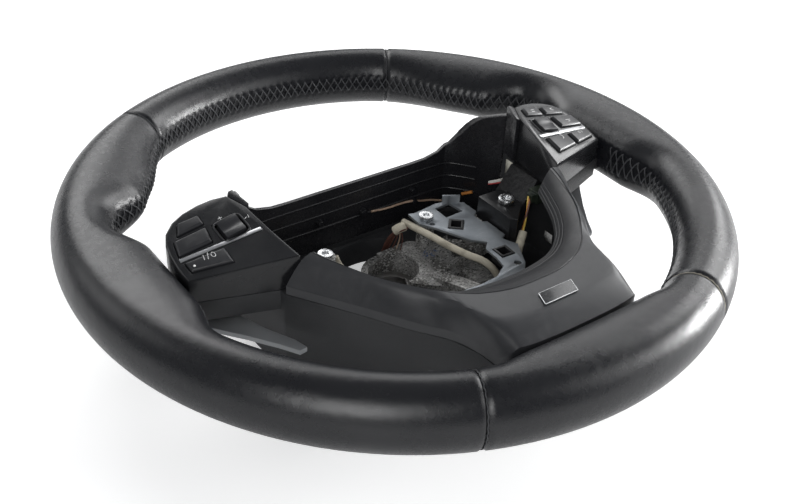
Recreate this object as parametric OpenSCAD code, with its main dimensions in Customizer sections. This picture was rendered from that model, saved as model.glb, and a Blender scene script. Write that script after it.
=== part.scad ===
// Three-spoke leather steering wheel with switch pods, shift paddles and an open hub cavity.
// Origin on the steering axis at the column seat, +Z towards the driver, +Y towards 12 o'clock.

/* [Rim] */
// Outer diameter of the rim
rim_od = 380; // [360:1:400]
// Height of the rim centre plane above the column seat
rim_z = 65; // [60:1:90]
// Half width of the grip across the rim
grip_a = 16.7; // [14:0.1:19]
// Half depth of the grip along the axis
grip_b = 19; // [15:0.1:22]
// How far the thumb rests stand in from the rim
lobe_in = 14.5; // [6:0.5:18]
// Thickness of the leather
leather_t = 1.3; // [0.9:0.1:2]
// Gap between leather and foam
glue_gap = 0.2; // [0.1:0.05:0.3]
// Seam gap between two leather panels, in degrees
seam_gap = 0.25; // [0.1:0.05:0.6]
// Steps round the rim
rim_steps = 96; // [48:12:120]
// Points round the grip section
grip_pts = 20; // [12:4:28]

/* [Armature] */
// Radius of the cast rod inside the rim
core_r = 5.5; // [4:0.5:7]
// Outside radius of the cast hub
hub_r = 19.5; // [17:0.5:24]
// Height of the cast hub
hub_h = 16; // [14:1:24]
// Radius of the well in the hub
well_r = 15.5; // [13:0.5:17]
// Depth of the well in the hub
well_h = 11; // [8:1:14]
// Thickness of the cast arms
arm_t = 7; // [5:0.5:9]
// Width of an arm at the spoke end
arm_w = 24; // [18:1:30]
// Radius of the column bore in the steel insert
bore_r = 8.4; // [7:0.1:10]

/* [Covers] */
// Wall thickness of the plastic covers
wall = 2.5; // [2:0.1:3.5]
// Depth of the bowl below the rim plane
bowl_depth = 56; // [48:1:62]
// Radius of the collar round the column
collar_r = 46; // [42:1:47]
// Depth of the collar below the rim plane
collar_depth = 70; // [68:1:78]
// Depth of the spoke backs below the rim plane
spoke_depth = 14; // [12:1:18]
// Height of the trim crown above the rim plane
trim_top = 18; // [12:1:22]

/* [Switches] */
// Height of the pod face at its pivot point
pod_z = 22; // [18:1:26]
// Tilt of the pod face towards the driver's eye, in degrees
pod_tilt = 13.77; // [8:0.5:18]
// Fall of the pod face towards the rim, in degrees
pod_fall = 11.31; // [6:0.5:16]
// Thickness of the pod face
face_t = 2.5; // [2:0.1:3.5]
// Gap round each key
key_gap = 0.35; // [0.25:0.05:0.5]
// How far a key stands proud of the face
key_proud = 0.8; // [0.4:0.1:1.5]
// Travel of a push key
key_travel = 1; // [0.6:0.1:1.2]

/* [Paddles] */
// Thickness of a paddle blade
paddle_t = 3; // [2:0.5:4]
// Height of the paddle hinge below the rim plane
paddle_z = -23; // [-28:1:-20]
// Distance of the paddle hinge from the steering axis
paddle_x = 104; // [103:1:108]
// Radius of the hinge pin
pin_r = 1.5; // [1:0.1:2]

/* [Hidden] */
$fn = 48;
rim_r = rim_od / 2 - grip_a;
eps = 0.01;

function clamp01(v) = min(1, max(0, v));
function smooth(a, b, v) = let (t = clamp01((v - a) / (b - a))) t * t * (3 - 2 * t);
// Angle from 12 o'clock, the same on both sides
function from_top(t) = abs(((t - 90 + 540) % 360) - 180);
function lobe(t) = let (u = from_top(t)) smooth(28, 52, u) * (1 - smooth(58, 69, u));
// Leather webs that run out to the side spokes and to the lower spoke
function side_web(t) = let (u = from_top(t)) smooth(71, 84, u) * (1 - smooth(104, 116, u));
function low_web(t) = smooth(155, 166, from_top(t));
function web(t) = max(side_web(t), low_web(t));
function web_r(t) = from_top(t) < 130 ? 142.2 / max(0.2, abs(cos(t))) : 149.5 / max(0.2, abs(sin(t)));
function inner_half(t) = grip_a + lobe_in * lobe(t) + web(t) * (rim_r - grip_a - web_r(t));
function spow(v, p) = (v < 0 ? -1 : 1) * pow(abs(v), p);
// One point of the grip surface, set in by d
function grip_pt(t, f, d) = let (
        q = cos(f) < 0 ? 1 - 0.5 * web(t) : 1,
        h = cos(f) < 0 ? inner_half(t) - d : grip_a - d,
        r = rim_r + h * spow(cos(f), q),
        z = (grip_b - d) * spow(sin(f), q) * (cos(f) < 0 ? 1 - 0.14 * web(t) * abs(cos(f)) : 1))
    [r * cos(t), r * sin(t), z];
function ring(t, d, n) = [for (i = [0 : n - 1]) grip_pt(t, 360 * i / n, d)];

module in_rim() {
    translate([0, 0, rim_z]) children();
}

// Closed foam body under the leather
module foam_body() {
    n = grip_pts;
    m = rim_steps;
    pts = [for (k = [0 : m - 1]) each ring(360 * k / m, leather_t + glue_gap, n)];
    skins = [for (k = [0 : m - 1]) for (i = [0 : n - 1])
        let (j = (i + 1) % n, o = n * k, p = n * ((k + 1) % m))
        each [[o + i, p + i, p + j], [o + i, p + j, o + j]]];
    polyhedron(points = pts, faces = skins, convexity = 6);
}

// Tube of leather between two wheel angles
module leather(t0, t1) {
    n = grip_pts;
    step = 360 / rim_steps;
    // Rings between the ends stand at the angles of the foam's rings
    inner = [for (k = [ceil((t0 + seam_gap) / step) : floor((t1 - seam_gap) / step)]) k * step];
    turns = concat([t0 + seam_gap / 2], inner, [t1 - seam_gap / 2]);
    m = len(turns) - 1;
    pts = [for (a = turns) each concat(ring(a, 0, n), ring(a, leather_t, n))];
    skins = [for (k = [0 : m - 1]) for (i = [0 : n - 1])
        let (j = (i + 1) % n, o = 2 * n * k, p = 2 * n * (k + 1))
        each [[o + i, p + i, p + j], [o + i, p + j, o + j], [o + n + i, p + n + j, p + n + i],
            [o + n + i, o + n + j, p + n + j]]];
    e = 2 * n * m;
    ends = [for (i = [0 : n - 1]) let (j = (i + 1) % n)
        each [[i, j, n + j], [i, n + j, n + i], [e + i, e + n + j, e + j], [e + i, e + n + i, e + n + j]]];
    polyhedron(points = pts, faces = concat(skins, ends), convexity = 6);
}

// Right half outline made whole by its mirror image, listed anticlockwise from the bottom
function both(h) = concat(h, [for (i = [len(h) - 1 : -1 : 0]) [-h[i][0], h[i][1]]]);
function unit(v) = v / norm(v);
function side_in(a, b) = let (e = unit(b - a)) [-e[1], e[0]];
// Outline moved inwards by d, or outwards for a negative d
function inset(p, d) = [for (i = [0 : len(p) - 1]) let (
        n = len(p),
        u = side_in(p[(i + n - 1) % n], p[i]),
        v = side_in(p[i], p[(i + 1) % n]))
    p[i] + d * (u + v) / (1 + u * v)];

pod_outline = [[-87, -38], [-91.5, -15], [-94.5, 4], [-99.5, 15.6], [-107, 17.8], [-115.5, 18.5],
    [-124, 17.8], [-131, 15.5], [-136.5, 11], [-139.5, 5], [-140.6, -2], [-141, -12], [-140.2, -20.5]];
wall_half = [[61, -95.5], [76, -71], [97, -39], [98.5, 15], [94, 22], [86, 33], [79, 43], [72, 48]];
bowl_half = concat([[40, -147.6], [43.5, -137], [44, -127], [49, -112.5]], wall_half);
deep_half = concat([[54, -104]], wall_half);
split_z = -2.3;
spoke_trough = 24;
arm_top = -3.4;
arm_bot = arm_top - arm_t;
arm_y = -8;
floor_z = -bowl_depth;
low_arm_x = 18;
low_arm_w = 10;
low_arm_turn = 2;
post_top = -28.2;
plate_z = -28;
plate_t = 1.5;
right_boss = [30.6, 10];
left_boss = [-42, 10];
module_hole = [72, -15];
window_gap = 0.2;
module_top = -15;
latch_windows = [[42, -5.2, 9.6, 10.6, -42], [47.7, -42.8, 9.8, 10, -3]];

module prism(p, z0, z1) {
    translate([0, 0, z0]) linear_extrude(z1 - z0) polygon(p);
}

module block(x0, x1, y0, y1, z0, z1) {
    translate([x0, y0, z0]) cube([x1 - x0, y1 - y0, z1 - z0]);
}

// The left side as drawn, or its mirror image
module on_side(s) {
    if (s < 0) children();
    else mirror([1, 0, 0]) children();
}

// Frame of the switch face: x along the spoke, y towards the top, z out of the face
module pod_frame(s) {
    in_rim() on_side(s) translate([-95, -15, pod_z]) rotate([pod_tilt, -pod_fall, 0]) children();
}

// Channels left for the cast arms, grown by c
module arm_ways(c) {
    for (s = [-1, 1]) block(min(s * 100, s * 176), max(s * 100, s * 176), arm_y - arm_w / 2 - c,
        arm_y + arm_w / 2 + c, arm_bot - c, arm_top + c);
    for (s = [-1, 1]) translate([s * low_arm_x, 0, 0]) rotate([0, 0, s * low_arm_turn])
        block(-low_arm_w / 2 - c, low_arm_w / 2 + c, -176, -106, arm_bot - c, arm_top + c);
}

module ring_rod(r) {
    translate([0, 0, arm_top]) rotate_extrude($fn = 96) translate([rim_r - 2, 0]) circle(r);
}

module side_arm() {
    rotate([90, 0, 0]) translate([0, 0, -arm_y - arm_w / 2]) linear_extrude(arm_w)
        polygon([[10, floor_z - 1], [76, floor_z + 17.5], [94.6, arm_bot], [172, arm_bot], [172, arm_top],
            [91, arm_top], [73, floor_z + 26], [10, floor_z + 6]]);
}

module low_arm() {
    rotate([90, 0, 90]) translate([0, 0, -low_arm_w / 2]) linear_extrude(low_arm_w)
        polygon([[-8, floor_z - 1], [-72, floor_z + 16], [-112, arm_bot], [-171, arm_bot], [-171, arm_top],
            [-107, arm_top], [-68, floor_z + 25], [-8, floor_z + 7]]);
}

// One casting: hub, four arms, screw posts and the rod inside the rim
module armature() {
    color([0.55, 0.56, 0.57]) in_rim() difference() {
        union() {
            translate([0, 0, -rim_z]) cylinder(r = hub_r, h = hub_h);
            side_arm();
            mirror([1, 0, 0]) side_arm();
            for (s = [-1, 1]) translate([s * low_arm_x, 0, 0]) rotate([0, 0, s * low_arm_turn]) low_arm();
            ring_rod(core_r);
            translate([right_boss[0], right_boss[1], floor_z + 4])
                cylinder(r = 5.5, h = post_top - floor_z - 4);
            translate([left_boss[0], left_boss[1], floor_z + 8])
                cylinder(r = 6, h = post_top - floor_z - 8);
            prism([[-48, 17], [-36, 17], [-18, 4], [-30, -2]], floor_z + 5, floor_z + 10);
            translate([47, -56, floor_z + 6]) cylinder(r = 4.5, h = post_top - floor_z - 6);
            prism([[0, 18], [24, 19], [37, 10], [50, -2], [52, -22], [53, -58], [42, -62], [40, -40],
                [22, -38], [0, -19]], floor_z + 5, floor_z + 10);
        }
        translate([0, 0, -rim_z + hub_h - well_h]) cylinder(r = well_r, h = 60);
        translate([0, 0, -rim_z - 1]) cylinder(r = 13.05, h = 20);
        translate([40, -13, -60]) cylinder(r = 5, h = 40);
        block(23.5, 33, -33, -24, -60, -40);
        for (p = [right_boss, left_boss]) translate([p[0], p[1], post_top - 12]) cylinder(r = 2.1, h = 20);
        translate([module_hole[0], module_hole[1], -60]) cylinder(r = 2.1, h = 40);
    }
}

module hub_insert() {
    color([0.45, 0.45, 0.46]) difference() {
        cylinder(r = 13, h = 7);
        translate([0, 0, -1]) cylinder(r = bore_r, h = 9);
        translate([bore_r - 1, -1, -1]) cube([2.2, 2, 9]);
    }
}

module rim_foam() {
    color([0.2, 0.2, 0.2]) in_rim() difference() {
        foam_body();
        ring_rod(core_r + 0.1);
        arm_ways(0.15);
    }
}

module leather_upper() {
    color([0.09, 0.09, 0.1]) in_rim() leather(57, 123);
}

module leather_left() {
    color([0.1, 0.1, 0.11]) in_rim() difference() {
        leather(123, 246);
        arm_ways(0.4);
    }
}

module leather_right() {
    color([0.1, 0.1, 0.11]) in_rim() difference() {
        leather(-66, 57);
        arm_ways(0.4);
    }
}

module leather_lower() {
    color([0.09, 0.09, 0.1]) in_rim() difference() {
        leather(246, 294);
        arm_ways(0.4);
    }
}

// Backs of the spokes, deep bowl round the hub and the collar over the column
module rear_cover() {
    color([0.16, 0.16, 0.17]) in_rim() difference() {
        union() {
            prism(both(deep_half), -bowl_depth, split_z);
            prism(both(bowl_half), -spoke_trough, split_z);
            for (s = [-1, 1]) on_side(s) prism(pod_outline, -spoke_depth, split_z);
            translate([0, 0, -collar_depth]) cylinder(r = collar_r, h = collar_depth - bowl_depth + 1);
        }
        prism(inset(both(deep_half), wall), wall - bowl_depth, 5);
        prism(inset(both(bowl_half), wall), wall - spoke_trough, 5);
        for (s = [-1, 1]) on_side(s) {
            prism(inset(pod_outline, wall), wall - spoke_depth, 5);
            block(-112, -90, arm_y - arm_w / 2 - 3, arm_y + arm_w / 2 + 3, wall - spoke_depth, 5);
            block(-145, -130, arm_y - arm_w / 2 - 0.5, arm_y + arm_w / 2 + 0.5, arm_bot - 0.5, 5);
        }
        block(-33, 33, -150, -140, arm_bot - 1, 5);
        translate([0, 0, -collar_depth - 1]) cylinder(r = collar_r - wall, h = 40);
        block(-110, 110, 16.2, 60, wall - bowl_depth + 3, 5);
    }
}

// Smooth wall behind the hub cavity, its edge rising to the switch pods
module upper_cover() {
    z0 = wall - bowl_depth + 3.2;
    edge = [[98.6, 27], [95.4, 23.5], [91.6, 21.5], [87, 19], [84, 16], [81.5, 11.5], [78.5, 4.5],
        [74, -2.5], [66, -7.5], [56, -9.7], [46, -10]];
    mirrored = [for (i = [len(edge) - 1 : -1 : 0]) [-edge[i][0], edge[i][1]]];
    color([0.1, 0.1, 0.11]) in_rim() union() {
        intersection() {
            difference() {
                prism(both(deep_half), z0, 40);
                prism(inset(both(deep_half), wall), z0 - 1, 41);
            }
            rotate([90, 0, 0]) translate([0, 0, -60]) linear_extrude(60 - 17)
                polygon(concat([[-98.6, z0], [98.6, z0]], edge, mirrored));
        }
        for (s = [-1, 1]) on_side(s) difference() {
            prism([[-94.2, 4.3], [-99, 15.4], [-97.4, 17.6], [-95, 17.6], [-92.2, 5]], split_z + 0.4, 40);
            above_face(-0.6);
        }
    }
}

trim_out = [[0, -149.2], [20, -148.8], [36, -147], [42, -142], [44, -127], [49, -112.5], [61, -95.5],
    [76, -71], [96.5, -39.2]];
trim_in = [[0, -116], [16, -115], [31, -110], [41, -103.5], [49, -95.5], [57.5, -86], [66.5, -72.5],
    [74, -56], [80, -39.2]];
trim_lip = [[0, -94.5], [13, -94], [26, -92], [35, -89], [43, -84], [51, -76.5], [59.5, -65],
    [67, -51], [73, -39.2]];
lip_z = 5;
lip_t = 1.8;
trim_sub = 5;
trim_low = -2;
function past_end(p) = 2 * p[len(p) - 1] - p[len(p) - 2];
function at(p, i) = i < 0 ? [-p[-i][0], p[-i][1]] : i > len(p) - 1 ? past_end(p) : p[i];
// Smooth curve through the points of half an outline, u counts points and is negative on the left
function curve(p, u) = u < 0 ? let (q = curve(p, -u)) [-q[0], q[1]] : let (
        i = min(len(p) - 2, floor(u)), t = u - i,
        a = at(p, i - 1), b = at(p, i), c = at(p, i + 1), d = at(p, i + 2))
    0.5 * (2 * b + (c - a) * t + (2 * a - 5 * b + 4 * c - d) * t * t + (3 * b - a - 3 * c + d) * t * t * t);
function edge_z(u) = 12 - 9 * smooth(2, 3.4, abs(u));
// Part of the width over which the shoulder rises: narrow at the rim, nearly all of it on the spokes
function shoulder(u) = 0.45 + 0.47 * smooth(2.6, 4.6, abs(u));
function crown(u, f) = let (e = edge_z(u)) e + (trim_top - e) * sin(90 * min(1, f / shoulder(u)));
// Section of the trim at u: over the top, down the slope to the opening and back underneath
function trim_section(u) = let (
        o = curve(trim_out, u), i = curve(trim_in, u), l = curve(trim_lip, u), w = wall / norm(i - o),
        mid = (trim_top - 0.8 + lip_z) / 2)
    [for (q = [[0, trim_low], [0, edge_z(u)], [0.05, crown(u, 0.05)], [0.12, crown(u, 0.12)],
        [0.2, crown(u, 0.2)], [0.34, crown(u, 0.34)], [0.55, crown(u, 0.55)], [0.94, trim_top],
        [1, trim_top - 0.8], [1.5, mid + 0.8], [2, lip_z], [2, lip_z - lip_t], [1.5, mid - 2],
        [1, trim_top - 3.8], [0.55, crown(u, 0.55) - 2.7], [0.34, crown(u, 0.34) - 2.8],
        [max(w, 0.2), crown(u, 0.2) - 3], [w, edge_z(u) - 2], [w, trim_low]])
    let (p = q[0] > 1 ? i + (q[0] - 1) * (l - i) : o + q[0] * (i - o)) [p[0], p[1], q[1]]];

module trim_body() {
    n = 19;
    m = 2 * (len(trim_out) - 1) * trim_sub;
    pts = [for (k = [0 : m]) each trim_section((k - m / 2) / trim_sub)];
    skins = [for (k = [0 : m - 1]) for (i = [0 : n - 1]) let (j = (i + 1) % n, o = n * k, p = n * (k + 1))
        each [[o + i, o + j, p + j], [o + i, p + j, p + i]]];
    cap = [[0, 1, 17], [0, 17, 18], [1, 2, 16], [1, 16, 17], [2, 3, 16], [3, 4, 16], [4, 5, 15],
        [4, 15, 16], [5, 6, 14], [5, 14, 15], [6, 7, 13], [6, 13, 14], [7, 8, 13], [8, 9, 12],
        [8, 12, 13], [9, 10, 11], [9, 11, 12]];
    ends = [for (f = cap) each [[f[2], f[1], f[0]], [n * m + f[0], n * m + f[1], n * m + f[2]]]];
    polyhedron(points = pts, faces = concat(skins, ends), convexity = 8);
}

module lower_trim() {
    color([0.2, 0.2, 0.21]) in_rim() trim_body();
}

module badge_plate() {
    color([0.32, 0.32, 0.33]) in_rim()
        prism([[-12, -135], [9, -135], [12, -127], [-9, -127]], trim_top + 0.05, trim_top + 1);
}

module above_face(d) {
    translate([-95, -15, pod_z]) rotate([pod_tilt, -pod_fall, 0])
        translate([-150, -150, d]) cube([300, 300, 80]);
}

set_shape = [[-37.2, 21.2], [-22.5, 20.9], [-22.3, 27.2], [-33.5, 28.2]];
resume_shape = [[-42.8, 9.4], [-24.6, 8.4], [-23, 18.2], [-40.6, 18.8]];
power_shape = [[-42.2, -2.6], [-22.3, -8.6], [-21.8, 1.4], [-42.4, 4]];
mode_shape = [[-18.5, 21.3], [-5, 21.3], [-5.4, 27.8], [-18.3, 28]];
next_shape = [[-36.5, 21.3], [-21.4, 21.3], [-21.2, 28], [-33, 28.2]];
phone_shape = [[-21.9, -8.6], [-3.5, -13.8], [-3, -0.8], [-21.4, 1.3]];
voice_shape = [[-42.2, -2.6], [-24.9, -7.7], [-24.4, 1.7], [-42.4, 4]];
key_flange = 0.8;
key_deep = 4.2;
mat_top = -5.8;
mat_t = 1.2;
board_top = -7.2;
board_t = 1.6;
rocker_c = [-12, 11];
rocker_l = 11;
rocker_w = 11;
rocker_z = -3.8;
rocker_slack = 1;
rocker_pin_r = 0.8;
rocker_pin_l = 16.4;
lug_gap = 1.9;
lug_t = 1.6;
pocket_deep = 1.2;
strip_a = [-43.7, 7];
strip_b = [0, 1.9];
strip_w = 2.2;
strip_deep = 0.7;
strip_proud = 0.5;

module strip_shape(g, z0, z1) {
    d = strip_b - strip_a;
    translate([strip_a[0], strip_a[1], 0]) rotate([0, 0, atan2(d[1], d[0])])
        block(-g, norm(d) + g, -strip_w / 2 - g, strip_w / 2 + g, z0, z1);
}

// Shell of a switch pod with its key holes and the lugs of the rocker pin
module housing(s, holes) {
    difference() {
        union() {
            in_rim() on_side(s) difference() {
                prism(pod_outline, -2, 60);
                above_face(0);
                difference() {
                    prism(inset(pod_outline, wall), -3, 60);
                    above_face(-face_t);
                }
            }
            pod_frame(s) for (k = [-1, 1])
                translate([rocker_c[0] + k * (rocker_l / 2 + lug_gap), rocker_c[1], 0])
                    block(-lug_t / 2, lug_t / 2, -2.5, 2.5, rocker_z - 1.5, -face_t + 0.5);
        }
        pod_frame(s) {
            for (h = holes) {
                prism(inset(h, -key_gap), -face_t - 2, 5);
                prism(inset(h, -key_flange - key_gap), -6, -face_t);
            }
            strip_shape(0.1, -strip_deep, 5);
            translate([rocker_c[0], rocker_c[1], 0]) {
                block(-rocker_l / 2 - key_gap, rocker_l / 2 + key_gap, -rocker_w / 2 - rocker_slack,
                    rocker_w / 2 + rocker_slack, -face_t - 1, 5);
                block(-rocker_l / 2 - 2.4, rocker_l / 2 + 2.4, -rocker_w / 2 - 0.6, rocker_w / 2 + 1.6,
                    -pocket_deep, 5);
                translate([-12, 0, rocker_z]) rotate([0, 90, 0])
                    cylinder(r = rocker_pin_r + 0.03, h = 24);
            }
        }
    }
}

module left_housing() {
    color([0.07, 0.07, 0.08]) housing(-1, [set_shape, resume_shape, power_shape]);
}

module right_housing() {
    color([0.07, 0.07, 0.08]) housing(1, [mode_shape, next_shape, resume_shape, phone_shape, voice_shape]);
}

module left_strip() {
    color([0.85, 0.85, 0.86]) pod_frame(-1) strip_shape(0, -strip_deep, strip_proud);
}

module right_strip() {
    color([0.85, 0.85, 0.86]) pod_frame(1) strip_shape(0, -strip_deep, strip_proud);
}

// Push key: cap through the face and a flange that holds it in
module key(s, p) {
    color([0.08, 0.08, 0.09]) pod_frame(s) {
        prism(p, -key_deep, key_proud);
        prism(inset(p, -key_flange), -key_deep, -face_t - 0.3);
    }
}

module set_key() {
    key(-1, set_shape);
}

module resume_key() {
    key(-1, resume_shape);
}

module power_key() {
    key(-1, power_shape);
}

module mode_key() {
    key(1, mode_shape);
}

module next_key() {
    key(1, next_shape);
}

module source_key() {
    key(1, resume_shape);
}

module phone_key() {
    key(1, phone_shape);
}

module voice_key() {
    key(1, voice_shape);
}

module rocker(s) {
    color([0.09, 0.09, 0.1]) pod_frame(s) translate([rocker_c[0], rocker_c[1], 0]) difference() {
        block(-rocker_l / 2, rocker_l / 2, -rocker_w / 2, rocker_w / 2, -4.6, 2);
        translate([-10, 0, rocker_z]) rotate([0, 90, 0]) cylinder(r = rocker_pin_r + 0.08, h = 20);
        translate([-10, 0, 10.6]) rotate([0, 90, 0]) cylinder(r = 9, h = 20, $fn = 64);
    }
}

module speed_rocker() {
    rocker(-1);
}

module volume_rocker() {
    rocker(1);
}

module rocker_pins() {
    color([0.7, 0.7, 0.72]) for (s = [-1, 1]) pod_frame(s)
        translate([rocker_c[0] - rocker_pin_l / 2, rocker_c[1], rocker_z]) rotate([0, 90, 0])
            cylinder(r = rocker_pin_r, h = rocker_pin_l);
}

// Sheets held inside the pod under the keys
module pod_sheet(s, z0, z1) {
    intersection() {
        in_rim() on_side(s) prism(inset(pod_outline, wall + 0.3), -2, 60);
        pod_frame(s) block(-60, 20, -40, 50, z0, z1);
        in_rim() block(-200, 200, -200, 200, -1.8, 60);
    }
}

module left_mat() {
    color([0.5, 0.5, 0.48]) pod_sheet(-1, mat_top - mat_t, mat_top);
}

module right_mat() {
    color([0.5, 0.5, 0.48]) pod_sheet(1, mat_top - mat_t, mat_top);
}

module left_board() {
    color([0.1, 0.35, 0.2]) pod_sheet(-1, board_top - board_t, board_top);
}

module right_board() {
    color([0.1, 0.35, 0.2]) pod_sheet(1, board_top - board_t, board_top);
}

paddle_shape = [[-104, 3.5], [-112, 3.5], [-112.5, 8], [-128, 3], [-136, -4], [-137.5, -10], [-136, -14],
    [-130, -21], [-118, -36], [-108, -50], [-101.5, -60.5], [-97, -60], [-99, -52], [-107, -36],
    [-112.5, -20], [-112.5, -9.5], [-104, -9.5]];
paddle_y0 = -10;
paddle_y1 = 4;
barrel_r = 3.4;
lug_y0 = -14;
lug_y1 = 8;
lug_top = -spoke_depth - 0.2;
plate_drop = 4;

// Blade behind the spoke with the hinge barrel at its inner end
module paddle(s) {
    color([0.6, 0.61, 0.62]) in_rim() on_side(s) difference() {
        union() {
            prism(paddle_shape, paddle_z - paddle_t / 2, paddle_z + paddle_t / 2);
            translate([-paddle_x, paddle_y1, paddle_z]) rotate([90, 0, 0])
                cylinder(r = barrel_r, h = paddle_y1 - paddle_y0);
        }
        translate([-paddle_x, 30, paddle_z]) rotate([90, 0, 0]) cylinder(r = pin_r + 0.08, h = 60);
    }
}

module left_paddle() {
    paddle(-1);
}

module right_paddle() {
    paddle(1);
}

// Lugs under the spoke that carry the hinge pin of a paddle
module bracket(s) {
    color([0.12, 0.12, 0.13]) in_rim() on_side(s) difference() {
        union() {
            block(-124, -108, lug_y0, lug_y1, lug_top - plate_drop, lug_top);
            for (y = [[paddle_y1 + 0.3, lug_y1], [lug_y0, paddle_y0 - 0.3]])
                block(-110, -100.2, y[0], y[1], paddle_z - 3.5, lug_top);
        }
        translate([-paddle_x, 30, paddle_z]) rotate([90, 0, 0]) cylinder(r = pin_r + 0.02, h = 60);
    }
}

module left_bracket() {
    bracket(-1);
}

module right_bracket() {
    bracket(1);
}

module paddle_pins() {
    color([0.7, 0.7, 0.72]) in_rim() for (s = [-1, 1]) on_side(s)
        translate([-paddle_x, lug_y1, paddle_z]) rotate([90, 0, 0])
            cylinder(r = pin_r, h = lug_y1 - lug_y0);
}

// Pressed steel plate over the right half of the hub
module sheet_plate() {
    color([0.6, 0.65, 0.7]) in_rim() difference() {
        union() {
            prism([[2, -66], [26, -66.5], [46, -63], [51, -58], [60, -41], [57.5, -36], [56, -31.5],
                [60, -29.5], [60.5, -12.5], [57.5, -11.5], [57.5, -3.5], [62, 0], [62, 12.6], [50, 19.5],
                [46, 20.5], [29, 18.5], [24, 19.5], [23.5, 7.5], [29, -2], [39, -23], [46, -30],
                [40.5, -35], [40, -45], [38, -54], [28, -60], [14, -61], [2, -60]], plate_z,
                plate_z + plate_t);
            translate([50, 19.5, 0]) rotate([0, 0, -30]) block(0, 11, -1.5, 0, plate_z, plate_z + 7);
        }
        translate([0, 0, -40]) linear_extrude(30) polygon([[41.6, 4], [55, 4.6], [53.5, 16.6], [42, 16]]);
        for (w = latch_windows) at_window(w, w[2], w[3], -40, -10);
        translate([30, 2.7, -40]) cylinder(r = 1.5, h = 30);
        translate([right_boss[0], right_boss[1], -40]) cylinder(r = 2.3, h = 30);
        translate([47, -56, -40]) cylinder(r = 2.3, h = 30);
    }
}

// Block turned and placed as a window of the plate
module at_window(w, wide, deep, z0, z1) {
    translate([w[0], w[1], 0]) rotate([0, 0, w[4]]) block(-wide / 2, wide / 2, -deep / 2, deep / 2, z0, z1);
}

module star_screw(r, h, l) {
    difference() {
        union() {
            cylinder(r = r, h = h);
            translate([0, 0, -l]) cylinder(r = 2, h = l + 0.1);
        }
        for (a = [0, 60, 120]) rotate([0, 0, a])
            translate([-r * 0.5, -r * 0.14, h - 1.4]) cube([r, r * 0.28, 3]);
    }
}

module pan_screws() {
    color([0.8, 0.8, 0.82]) in_rim() {
        translate([right_boss[0], right_boss[1], plate_z + plate_t + 0.05]) star_screw(4.4, 2.6, 9);
        translate([left_boss[0], left_boss[1], post_top + 0.05]) star_screw(4.4, 2.6, 9);
    }
}

module module_screw() {
    color([0.8, 0.8, 0.82]) in_rim()
        translate([module_hole[0], module_hole[1], module_top + 0.1]) star_screw(5, 2.8, 20);
}

// Black sockets behind the windows of the plate
module latch_sockets() {
    color([0.08, 0.08, 0.09]) in_rim() for (w = latch_windows) difference() {
        at_window(w, w[2] - 2 * window_gap, w[3] - 2 * window_gap, plate_z - 6, plate_z + 2);
        at_window(w, w[2] - 2 * window_gap - 3.2, w[3] - 2 * window_gap - 3.2, plate_z - 4, plate_z + 3);
    }
}

// Box of electronics on the right arm, its underside sloped to lie along the arm
module control_module() {
    color([0.1, 0.1, 0.11]) in_rim() difference() {
        intersection() {
            prism([[61.5, -1.2], [61.5, -31], [65, -34], [79.5, -21], [79.5, -1.2]], -40, module_top);
            translate([0, 5, 0]) rotate([90, 0, 0]) linear_extrude(50)
                polygon([[60, -29.7], [72.5, -29.7], [79.1, -20], [79.1, -10], [60, -10]]);
        }
        translate([module_hole[0], module_hole[1], -40]) cylinder(r = 2.1, h = 40);
    }
}

module connector() {
    color([0.85, 0.82, 0.74]) in_rim() union() {
        translate([0, arm_y - arm_w / 2 - 1, 0]) {
            block(84, 94.7, -8, 0, -13.8, -6);
            block(81, 84, -6.5, -1.5, -12.5, -7.5);
        }
    }
}

// Cable of radius r through the points of a route, its straight runs lapping at each bend
module cable(p, r) {
    for (i = [0 : len(p) - 2]) let (d = p[i + 1] - p[i], l = norm(d))
        translate(p[i]) rotate([0, acos(d[2] / l), atan2(d[1], d[0])]) translate([0, 0, -r * 0.6])
            cylinder(r = r, h = l + r * 1.2, $fn = 12);
}

module taped_harness() {
    color([0.78, 0.74, 0.62]) in_rim()
        cable([[24, 26, -42], [21.5, 18.5, -31.2], [22.4, 10, -30.6], [24.5, -2, -30], [27, -15, -30.5],
            [32, -29, -31.5], [38, -38, -33], [42, -44, -38], [42.5, -47, -42.6]], 2.4);
}

module feed_wires() {
    color([0.35, 0.18, 0.12]) in_rim() for (k = [0 : 2])
        cable([[8 + 2 * k, 27, -62], [8 + 2 * k, 23, -50], [11 + 1.8 * k, 19.5, -38],
            [14, 13 + 1.9 * k, -31.5], [18.5, 12.4 + 1.9 * k, -30.8]], 0.75);
}

module pod_wires() {
    color([0.75, 0.4, 0.15]) in_rim() for (k = [0 : 2])
        cable([[80, -25, -8.4 - 1.6 * k], [76, -29.5, -19 - 1.6 * k], [64, -38.5, -29 - 1.6 * k],
            [57, -42 - 2 * k, -38 - k], [49, -42 - 2 * k, -44.9]], 0.7);
}

// Flat piece stuck to the inside of the right wall of the bowl
module on_wall(y, wide, z0, z1) {
    translate([94.45 + (y + 39) / 36, y, 0]) rotate([0, 0, -1.59]) block(-0.15, 0, 0, wide, z0, z1);
}

module code_label() {
    color([0.9, 0.88, 0.78]) in_rim() on_wall(arm_y + arm_w / 2 + 0.4, 9.4, -16, -6);
}

module pad_sticker() {
    color([0.92, 0.92, 0.9]) in_rim() on_wall(-36, 7, -42, -36);
}

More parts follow.
